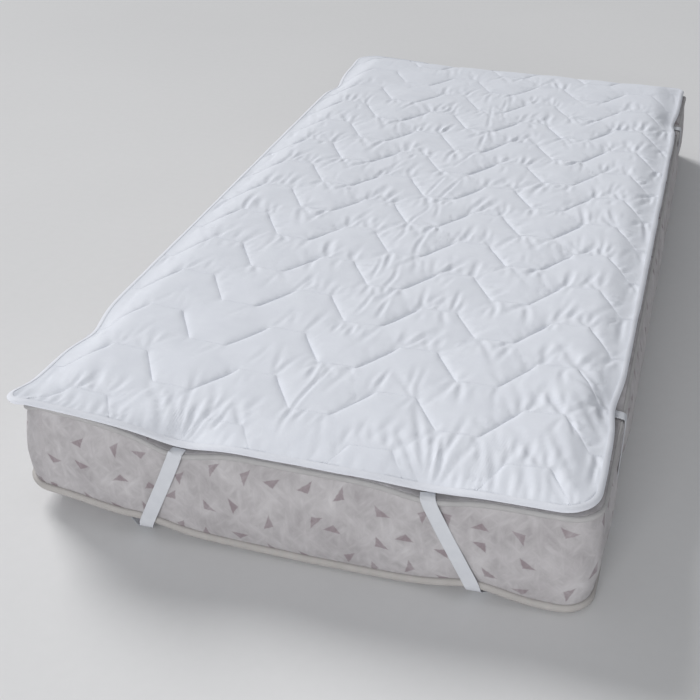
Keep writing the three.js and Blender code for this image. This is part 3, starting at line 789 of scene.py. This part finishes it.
def edgeTape(name, level, width, material):
    walk = bedStations(bed["step"])
    zero = np.zeros(len(walk["x"]))
    rise, riseSize, puff, puffSize = bed["tapeUneven"]
    rise = rise * softNoise(walk["s"], zero + width, riseSize, 31)
    puffed = 1 + puff * softNoise(walk["s"], zero + width, puffSize, 32)
    section = [(bed["tapeInside"], -0.5)]
    for k in range(9):
        angle = math.radians(-80 + 20 * k)
        section.append((bed["tapeProud"] * (0.32 + 0.68 * math.cos(angle)), 0.5 * math.sin(angle)))
    section.append((bed["tapeInside"], 0.5))
    rings, uv = [], []
    for k, (out, up) in enumerate(section):
        away = np.maximum(bed["tapeInside"], out * puffed)
        rings.append(bedRing(walk, away, walk[level] + up * width + rise))
        uv.append(np.stack([walk["s"], zero + k * width / 9], 1))
    return ringPiece(name, rings, material, np.concatenate(uv)), walk["round"]


# Straps: one flat elastic band at each corner, from the short end under the mattress to the long side
def strapLeg(rimOut, rimHeight, droop):
    top = bed["topTape"] - bed["tapeDip"] - droop
    foot = bed["bottomTape"] + bed["tapeLift"]
    out, floor = strapSize["out"], strapSize["floor"]
    start = rimHeight - padCut["gap"] - strapSize["thick"] / 2
    return [  # out from the mattress, height, slant towards the foot, turn to the floor
        (rimOut, start, 0, -1),
        (3.6, mix(start, top, 0.1), 0.02, -0.7),
        (out - 0.2, top + 4.4, 0.05, -0.15),
        (out, top - 5, 0.1, 0),
        (out, mix(foot, top, 0.6), 0.42, 0),
        (out, mix(foot, top, 0.28), 0.72, 0),
        (out, foot + 4, 0.95, 0),
        (out - 0.6, foot - 5, 1, 0.2),
        (3, foot - 11, 1, 0.5),
        (-5, foot - 14, 1, 0.8),
        (-16, mix(floor, foot - 14, 0.45), 1, 0.95),
        (-32, mix(floor, foot - 14, 0.1), 1, 1),
        (-46, floor, 1, 1),
    ]


def strapStations(corner):
    sx, sy = corner["sx"], corner["sy"]
    endFoot = np.array([sx * corner["footX"], sy * halfLength])
    sideFoot = np.array([sx * halfWidth, sy * corner["footY"]])
    under = (sideFoot - endFoot) / np.linalg.norm(sideFoot - endFoot)
    rimOut, rimDrop = strapSize["rimOut"], strapSize["rimDrop"]
    endRim = layPad(np.array(sx * corner["edgeX"]), np.array(sy * (quiltY + rimOut)), -rimDrop)
    sideRim = layPad(np.array(sx * (quiltX + rimOut)), np.array(sy * corner["edgeY"]), -rimDrop)
    endDroop = sides["near" if sy < 0 else "far"]["droop"]
    sideDroop = sides["left" if sx < 0 else "right"]["droop"]
    spots = []

    def turned(turn, outward):
        away = np.array([0, 0, 1.0 if turn < 0 else -1.0])
        way = mix(np.array(outward, float), away, abs(turn))
        return way / np.linalg.norm(way)

    for out, height, slant, turn in strapLeg(abs(endRim[1]) - halfLength, endRim[2], endDroop):
        inset = max(0, -out) if turn > 0 else 0
        x = sx * mix(corner["edgeX"], corner["footX"], slant) + under[0] * inset / abs(under[1])
        spots.append(([x, sy * (halfLength + out), height], turned(turn, (0, sy, 0))))
    side = []
    for out, height, slant, turn in strapLeg(abs(sideRim[0]) - halfWidth, sideRim[2], sideDroop):
        inset = max(0, -out) if turn > 0 else 0
        y = sy * mix(corner["edgeY"], corner["footY"], slant) - under[1] * inset / abs(under[0])
        side.append(([sx * (halfWidth + out), y, height], turned(turn, (sx, 0, 0))))
    spots += side[::-1]
    return np.array([p for p, _ in spots]), np.array([f for _, f in spots])


def strapMesh(corner, margin, ribs):
    places, facing = strapStations(corner)
    at = np.concatenate([[0], np.cumsum(np.linalg.norm(np.diff(places, axis=0), axis=1))])
    even = np.linspace(0, at[-1], int(at[-1] / strapSize["step"]))
    wanted = np.unique(np.concatenate([even, at]))
    place = np.stack([np.interp(wanted, at, places[:, k]) for k in range(3)], 1)
    face = np.stack([np.interp(wanted, at, facing[:, k]) for k in range(3)], 1)
    soften = lambda a: np.concatenate([a[:1], (a[:-2] + 2 * a[1:-1] + a[2:]) / 4, a[-1:]])
    for _ in range(3 if ribs else 0):
        place = soften(place)
    along = np.gradient(place, axis=0)
    along /= np.linalg.norm(along, axis=1)[:, None]
    across = np.cross(face, along)
    across /= np.linalg.norm(across, axis=1)[:, None]
    thick = np.cross(along, across)
    half, deep = strapSize["width"] / 2 + margin, strapSize["thick"] / 2 + margin
    if ribs:
        count = strapSize["cords"] * 4
        t = np.linspace(-1, 1, count + 1)
        rib = strapSize["ribDepth"] * (np.cos(math.pi * strapSize["cords"] * (t + 1)) * 0.5 - 0.5)
        edge = 1 - smooth(np.abs(t), 0.93, 1) * 0.75
        section = [(a * half, (deep + r) * e) for a, r, e in zip(t, rib, edge)]
        section += [(a, -b) for a, b in section[::-1]]
    else:
        section = [(-half, deep), (half, deep), (half, -deep), (-half, -deep)]
    rings = [place + across * a + thick * b for a, b in section]
    return np.stack(rings, 1), wanted, section


def cornerStrap(corner, material):
    rings, at, section = strapMesh(corner, 0, True)
    uv = np.stack(np.broadcast_arrays(np.array([a for a, _ in section])[None, :], at[:, None]), 2)
    return tubePiece("elasticStrap_" + corner["name"], rings, material, uv.reshape(-1, 2)), float(at[-1])


# The straps lie in shallow channels in the mattress's underside
def cutChannels(body):
    for corner in corners:
        rings = strapMesh(corner, strapSize["channel"], False)[0]
        cutter = tubePiece("channelCutter", rings, body.data.materials[0])
        cut = body.modifiers.new("channel", "BOOLEAN")
        cut.object = cutter
        cut.operation = "DIFFERENCE"
        cut.solver = "MANIFOLD"
        bakeModifiers(body)
        bpy.data.objects.remove(cutter)


def bakeModifiers(obj):
    graph = bpy.context.evaluated_depsgraph_get()
    shaped = obj.evaluated_get(graph)
    mesh = bpy.data.meshes.new_from_object(shaped, preserve_all_data_layers=True, depsgraph=graph)
    obj.modifiers.clear()
    obj.data = mesh
    mesh.name = obj.name


# Stitches: small thread loops placed along sewn lines
stitches = {
    "pitch": 4.2,
    "length": 3.0,
    "width": 0.75,
    "rise": 0.55,
}


def stitchTree():
    tree = bpy.data.node_groups.new("stitchRow", "GeometryNodeTree")
    face = tree.interface
    face.new_socket("Geometry", in_out="INPUT", socket_type="NodeSocketGeometry")
    for name in ("Pitch", "Length", "Width", "Rise"):
        face.new_socket(name, in_out="INPUT", socket_type="NodeSocketFloat")
    face.new_socket("Thread", in_out="INPUT", socket_type="NodeSocketMaterial")
    face.new_socket("Geometry", in_out="OUTPUT", socket_type="NodeSocketGeometry")
    add = lambda kind: tree.nodes.new(kind)
    source, sink = add("NodeGroupInput"), add("NodeGroupOutput")
    curve = add("GeometryNodeMeshToCurve")
    spots = add("GeometryNodeCurveToPoints")
    spots.mode = "LENGTH"
    turn = add("FunctionNodeAlignRotationToVector")
    turn.axis = "X"
    ball = add("GeometryNodeMeshUVSphere")
    ball.inputs["Segments"].default_value = 6
    ball.inputs["Rings"].default_value = 4
    ball.inputs["Radius"].default_value = 0.5
    stretch = add("ShaderNodeCombineXYZ")
    shaped = add("GeometryNodeTransform")
    place = add("GeometryNodeInstanceOnPoints")
    real = add("GeometryNodeRealizeInstances")
    finish = add("GeometryNodeSetMaterial")
    smoothed = add("GeometryNodeSetShadeSmooth")
    for a, output, b, socket in (
        (source, "Geometry", curve, "Mesh"),
        (curve, "Curve", spots, "Curve"),
        (source, "Pitch", spots, "Length"),
        (spots, "Tangent", turn, "Vector"),
        (source, "Length", stretch, "X"),
        (source, "Width", stretch, "Y"),
        (source, "Rise", stretch, "Z"),
        (ball, "Mesh", shaped, "Geometry"),
        (stretch, "Vector", shaped, "Scale"),
        (spots, "Points", place, "Points"),
        (shaped, "Geometry", place, "Instance"),
        (turn, "Rotation", place, "Rotation"),
        (place, "Instances", real, "Geometry"),
        (real, "Geometry", smoothed, "Geometry"),
        (smoothed, "Geometry", finish, "Geometry"),
        (source, "Thread", finish, "Material"),
        (finish, "Geometry", sink, "Geometry"),
    ):
        tree.links.new(a.outputs[output], b.inputs[socket])
    return tree


def stitchRow(name, tree, lines, thread):
    mesh = bpy.data.meshes.new(name)
    points, edges = [], []
    for line in lines:
        edges += [(len(points) + k, len(points) + k + 1) for k in range(len(line) - 1)]
        points += (np.asarray(line) * mm).tolist()
    mesh.from_pydata(points, edges, [])
    obj = bpy.data.objects.new(name, mesh)
    bpy.context.collection.objects.link(obj)
    nodes = obj.modifiers.new("stitches", "NODES")
    nodes.node_group = tree
    for item in tree.interface.items_tree:
        if item.in_out == "INPUT" and item.name.lower() in stitches:
            nodes[item.identifier] = stitches[item.name.lower()] * mm
        if item.in_out == "INPUT" and item.name == "Thread":
            nodes[item.identifier] = thread
    bakeModifiers(obj)
    print(name, "stitch faces:", len(obj.data.polygons))
    return obj


# Materials
class Nodes:  # short way to add and join nodes in one tree
    def __init__(self, tree):
        self.tree = tree

    def add(self, kind, **settings):
        node = self.tree.nodes.new(kind)
        for name, value in settings.items():
            setattr(node, name, value)
        return node

    def put(self, value, socket):
        if hasattr(value, "is_output"):
            self.tree.links.new(value, socket)
        else:
            socket.default_value = value

    def fill(self, kind, operation, values):
        node = self.add(kind, operation=operation)
        for value, socket in zip(values, node.inputs):
            self.put(value, socket)
        return node.outputs

    def math(self, operation, *values):
        return self.fill("ShaderNodeMath", operation, values)[0]

    def vector(self, operation, *values):
        outputs = self.fill("ShaderNodeVectorMath", operation, values)
        return outputs["Value" if operation == "DOT_PRODUCT" else "Vector"]

    def noise(self, vector, scale, detail=2.0, rough=0.5):
        node = self.add("ShaderNodeTexNoise")
        self.put(vector, node.inputs["Vector"])
        self.put(scale, node.inputs["Scale"])
        node.inputs["Detail"].default_value = detail
        node.inputs["Roughness"].default_value = rough
        return node.outputs[0]

    def span(self, value, low, high, toLow=0.0, toHigh=1.0):
        node = self.add("ShaderNodeMapRange")
        names = ("Value", "From Min", "From Max", "To Min", "To Max")
        for name, number in zip(names, (value, low, high, toLow, toHigh)):
            self.put(number, node.inputs[name])
        return node.outputs[0]

    def blend(self, share, a, b):
        node = self.add("ShaderNodeMix", data_type="RGBA")
        self.put(share, node.inputs[0])
        self.put(a, node.inputs[6])
        self.put(b, node.inputs[7])
        return node.outputs[2]

    def group(self, tree, **values):
        node = self.add("ShaderNodeGroup")
        node.node_tree = tree
        for name, value in values.items():
            self.put(value, node.inputs[name])
        return node.outputs


def newGroup(name, inputs, outputs):
    tree = bpy.data.node_groups.new(name, "ShaderNodeTree")
    for way, sockets in (("INPUT", inputs), ("OUTPUT", outputs)):
        for socket, kind in sockets.items():
            tree.interface.new_socket(socket, in_out=way, socket_type="NodeSocket" + kind)
    nodes = Nodes(tree)
    return nodes, nodes.add("NodeGroupInput").outputs, nodes.add("NodeGroupOutput").inputs


# crossing threads, as a height from 0 to 1
def weaveGroup():
    inputs = {"Vector": "Vector", "Threads": "Float"}
    nodes, source, sink = newGroup("crossingThreads", inputs, {"Height": "Float"})
    turns = nodes.math("MULTIPLY", source["Threads"], math.pi)
    apart = nodes.add("ShaderNodeSeparateXYZ")
    nodes.put(source["Vector"], apart.inputs[0])
    waves = [nodes.math("SINE", nodes.math("MULTIPLY", apart.outputs[k], turns)) for k in (0, 1)]
    crossed = nodes.math("MULTIPLY", *waves)
    nodes.put(nodes.math("MULTIPLY_ADD", crossed, 0.5, 0.5), sink["Height"])
    return nodes.tree


# uneven tone of worn and washed cloth, from 0 to 1
def toneGroup():
    inputs = {"Vector": "Vector", "Patch": "Float"}
    nodes, source, sink = newGroup("unevenTone", inputs, {"Tone": "Float", "Fibre": "Float"})
    wide = nodes.noise(source["Vector"], source["Patch"], 3.0, 0.55)
    fine = nodes.noise(source["Vector"], nodes.math("MULTIPLY", source["Patch"], 60.0), 2.0, 0.6)
    mixed = nodes.math("ADD", nodes.math("MULTIPLY", wide, 0.75), nodes.math("MULTIPLY", fine, 0.25))
    nodes.put(nodes.span(mixed, 0.3, 0.7), sink["Tone"])
    nodes.put(fine, sink["Fibre"])
    return nodes.tree


weaveTree, toneTree = weaveGroup(), toneGroup()


def startMaterial(name, roughness, sheen):
    material = bpy.data.materials.new(name)
    material.use_nodes = True
    nodes = Nodes(material.node_tree)
    shader = material.node_tree.nodes["Principled BSDF"]
    shader.inputs["Roughness"].default_value = roughness
    shader.inputs["Sheen Weight"].default_value = sheen
    shader.inputs["Sheen Roughness"].default_value = 0.5
    shader.inputs["Specular IOR Level"].default_value = 0.25
    uv = nodes.add("ShaderNodeUVMap", uv_map="cloth").outputs["UV"]
    return material, nodes, shader, uv


def addBump(nodes, shader, height, strength, distance):
    bump = nodes.add("ShaderNodeBump")
    bump.inputs["Strength"].default_value = strength
    bump.inputs["Distance"].default_value = distance
    nodes.put(height, bump.inputs["Height"])
    nodes.put(bump.outputs["Normal"], shader.inputs["Normal"])


# Woven cloth in two near tones; threads and patches are counted per metre
def wovenCloth(name, light, dark, threads, patch, roughness=0.9, sheen=0.1, depth=0.0002, strength=0.25,
               crumple=0.0):
    material, nodes, shader, uv = startMaterial(name, roughness, sheen)
    woven = nodes.group(weaveTree, Vector=uv, Threads=threads)["Height"]
    tone = nodes.group(toneTree, Vector=uv, Patch=patch)
    share = nodes.math("MULTIPLY_ADD", woven, 0.25, nodes.math("MULTIPLY", tone["Tone"], 0.75))
    nodes.put(nodes.blend(share, (*dark, 1), (*light, 1)), shader.inputs["Base Color"])
    height = nodes.math("ADD", woven, tone["Fibre"])
    if crumple:
        height = nodes.math("MULTIPLY_ADD", nodes.noise(uv, 95.0, 3.0, 0.55), crumple, height)
    addBump(nodes, shader, height, strength, depth)
    return material


# Border fabric: crossing brush strokes with small triangles strewn over them, each turned its own way
ticking = {
    "light": (0.568, 0.556, 0.572),
    "dark": (0.358, 0.342, 0.355),
    "motif": (0.26, 0.215, 0.235),
    "stroke": 62,  # strokes in a metre
    "strokeTurns": ((38, 0.0), (-47, 3.7), (84, 8.1)),  # heading and shift of each layer of strokes
    "strokeStretch": 0.34,
    "patch": 15,
    "wobble": 190,
    "threads": 1500,
    "cell": 53,
    "strewn": 0.6,  # how far the triangles stray from an even layout
    "motifSize": 21,
    "motifSoft": 0.8,
    "motifSides": ((-86, 0.17), (49, 0.35), (134, 0.27)),  # heading and distance of each side from the middle
    "ragged": 2.6,
    "shown": 0.85,
}


def tickingCloth(name):
    material, nodes, shader, uv = startMaterial(name, 0.85, 0.1)
    wobble = nodes.add("ShaderNodeTexNoise")
    wobble.inputs["Scale"].default_value = ticking["wobble"]
    nodes.put(uv, wobble.inputs["Vector"])
    wobbled = nodes.vector("SUBTRACT", wobble.outputs["Color"], (0.5, 0.5, 0.5))
    strokes = None
    for turn, shift in ticking["strokeTurns"]:
        turned = nodes.add("ShaderNodeVectorRotate", rotation_type="Z_AXIS")
        nodes.put(nodes.vector("ADD", uv, (shift, shift, 0)), turned.inputs["Vector"])
        turned.inputs["Angle"].default_value = math.radians(turn)
        drawn = nodes.vector("MULTIPLY", turned.outputs[0], (ticking["strokeStretch"], 1.0, 1.0))
        stroke = nodes.noise(drawn, float(ticking["stroke"]), 4.0, 0.6)
        strokes = stroke if strokes is None else nodes.math("MAXIMUM", strokes, stroke)
    patches = nodes.noise(uv, float(ticking["patch"]), 3.0, 0.55)
    share = nodes.math("ADD", nodes.math("MULTIPLY", strokes, 0.6), nodes.math("MULTIPLY", patches, 0.4))
    mottled = nodes.blend(nodes.span(share, 0.40, 0.72), (*ticking["dark"], 1), (*ticking["light"], 1))
    cells = nodes.add("ShaderNodeTexVoronoi", voronoi_dimensions="2D")
    cells.inputs["Scale"].default_value = 1 / (ticking["cell"] * mm)
    cells.inputs["Randomness"].default_value = ticking["strewn"]
    nodes.put(uv, cells.inputs["Vector"])
    local = nodes.vector("SUBTRACT", uv, cells.outputs["Position"])
    ragged = ticking["ragged"] * mm
    local = nodes.vector("ADD", local, nodes.vector("MULTIPLY", wobbled, (ragged, ragged, ragged)))
    chance = nodes.add("ShaderNodeSeparateColor")
    nodes.put(cells.outputs["Color"], chance.inputs[0])
    turn = nodes.add("ShaderNodeVectorRotate", rotation_type="Z_AXIS")
    nodes.put(local, turn.inputs["Vector"])
    nodes.put(nodes.math("MULTIPLY", chance.outputs[0], 2 * math.pi), turn.inputs["Angle"])
    away = None
    for heading, reach in ticking["motifSides"]:
        side = (math.cos(math.radians(heading)), math.sin(math.radians(heading)), 0)
        along = nodes.vector("DOT_PRODUCT", turn.outputs[0], side)
        past = nodes.math("SUBTRACT", along, reach * ticking["motifSize"] * mm)
        away = past if away is None else nodes.math("MAXIMUM", away, past)
    soft = ticking["motifSoft"] * mm
    inside = nodes.span(away, soft, -soft)
    shown = nodes.math("LESS_THAN", chance.outputs[1], ticking["shown"])
    faded = nodes.span(strokes, 0.45, 0.75, 0.95, 0.45)
    mask = nodes.math("MULTIPLY", nodes.math("MULTIPLY", inside, shown), faded)
    nodes.put(nodes.blend(mask, mottled, (*ticking["motif"], 1)), shader.inputs["Base Color"])
    woven = nodes.group(weaveTree, Vector=uv, Threads=float(ticking["threads"]))["Height"]
    addBump(nodes, shader, nodes.math("ADD", woven, strokes), 0.3, 0.0004)
    return material


floorTones = ((0.72, 0.725, 0.735, 1), (0.76, 0.765, 0.775, 1))


def paleFloor(name):
    material, nodes, shader, _ = startMaterial(name, 0.8, 0.0)
    place = nodes.add("ShaderNodeTexCoord").outputs["Object"]
    tone = nodes.group(toneTree, Vector=place, Patch=0.8)["Tone"]
    nodes.put(nodes.blend(tone, *floorTones), shader.inputs["Base Color"])
    return material


# Light tone, dark tone, threads and patches, then how rough the cloth is
coarse = {"roughness": 0.75, "sheen": 0.05, "depth": 0.0003, "strength": 0.4}
padCotton = wovenCloth("padCotton", (0.79, 0.82, 0.885), (0.735, 0.765, 0.835), 1900.0, 26.0, crumple=5.0)
bindingCotton = wovenCloth("bindingCotton", (0.79, 0.815, 0.875), (0.725, 0.75, 0.815), 1400.0, 30.0, 0.85)
elasticWhite = wovenCloth("elasticWhite", (0.65, 0.67, 0.71), (0.57, 0.59, 0.635), 1100.0, 40.0, **coarse)
greyTapeCloth = wovenCloth("greyTapeCloth", (0.46, 0.455, 0.46), (0.38, 0.375, 0.38), 1200.0, 45.0, **coarse)
creamTapeCloth = wovenCloth("creamTapeCloth", (0.48, 0.465, 0.455), (0.40, 0.385, 0.375), 1200.0, 45.0,
                            **{**coarse, "roughness": 0.8})
threadWhite = wovenCloth("threadWhite", (0.80, 0.82, 0.87), (0.72, 0.745, 0.8), 2500.0, 300.0, 0.6, 0.1)
borderTicking = tickingCloth("borderTicking")

pad, seamLines = quiltedPad(padCotton)
bound, bindingLine, bindingCut = edgeBinding(bindingCotton)
straps = [cornerStrap(corner, elasticWhite) for corner in corners]
body = mattressBody(borderTicking)
cutChannels(body)
topTape, tapeLength = edgeTape("mattressTapeTop", "top", bed["topTapeWidth"], greyTapeCloth)
bottomTape, _ = edgeTape("mattressTapeBottom", "bottom", bed["bottomTapeWidth"], creamTapeCloth)
tree = stitchTree()
quiltStitches = stitchRow("quiltStitches", tree, seamLines, threadWhite)
bindingStitches = stitchRow("bindingStitches", tree, bindingLine, threadWhite)
print("pieces made")

standsFor = [
    (pad, "quilted_pad", "pad_cloth"),
    (bound, "edge_binding", "binding_tape"),
    (body, "mattress_body", "mattress_cloth"),
    (topTape, "mattress_tape_top", "grey_tape"),
    (bottomTape, "mattress_tape_bottom", "cream_tape"),
]
for obj, node, slot in standsFor:
    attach(obj, "root")
    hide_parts(node)
for (obj, length), corner in zip(straps, corners):
    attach(obj, "root")
    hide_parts("strap_" + corner["name"])
for obj in (quiltStitches, bindingStitches):
    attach(obj, "root")

# Camera at the photograph's place
view = {
    "eye": (496.8, -2426.7, 1198.5),
    "pitch": 29.065,
    "turn": 15.74,
    "roll": 1.014,
    "lens": 65.26,
    "sensor": 36,
}


def placeCamera():
    data = bpy.data.cameras.new("camera")
    data.lens = view["lens"]
    data.sensor_width = view["sensor"]
    data.clip_end = 200
    camera = bpy.data.objects.new("camera", data)
    bpy.context.collection.objects.link(camera)
    turned = (Matrix.Rotation(math.radians(view["turn"]), 4, "Z")
              @ Matrix.Rotation(math.radians(90 - view["pitch"]), 4, "X")
              @ Matrix.Rotation(math.radians(view["roll"]), 4, "Z"))
    camera.matrix_world = Matrix.Translation(Vector(view["eye"]) * mm) @ turned
    bpy.context.scene.camera = camera


placeCamera()

# Studio: even sky, a soft sun from the far left and a broad lamp in front
studio = {
    "sky": (0.95, 0.97, 1, 1),
    "skyStrength": 0.26,
    "lampColour": (1, 0.99, 0.98),
    "floorReach": 30,
}
world = bpy.data.worlds.new("studio")
world.use_nodes = True
world.node_tree.nodes["Background"].inputs["Color"].default_value = studio["sky"]
world.node_tree.nodes["Background"].inputs["Strength"].default_value = studio["skyStrength"]
bpy.context.scene.world = world
bpy.context.scene.view_settings.view_transform = "Standard"


def placeLight(name, kind, place, aim, power):
    data = bpy.data.lights.new(name, kind)
    data.energy = power
    data.color = studio["lampColour"]
    light = bpy.data.objects.new(name, data)
    bpy.context.collection.objects.link(light)
    light.location = place
    light.rotation_euler = (Vector(aim) - Vector(place)).to_track_quat("-Z", "Y").to_euler()
    return data


placeLight("key", "SUN", (-8.6, 7.0, 7.2), (0, -0.1, 0.2), 2.48).angle = math.radians(23)
placeLight("front", "AREA", (0.6, -8.2, 2.8), (0, -0.6, 0.1), 362).size = 5.0
print("camera and lights placed")

floorMesh = bpy.data.meshes.new("floor")
far = studio["floorReach"]
floorMesh.from_pydata([(-far, -far, 0), (far, -far, 0), (far, far, 0), (-far, far, 0)], [], [(0, 1, 2, 3)])
floorMesh.materials.append(paleFloor("paleFloor"))
floor = bpy.data.objects.new("floor", floorMesh)
bpy.context.collection.objects.link(floor)
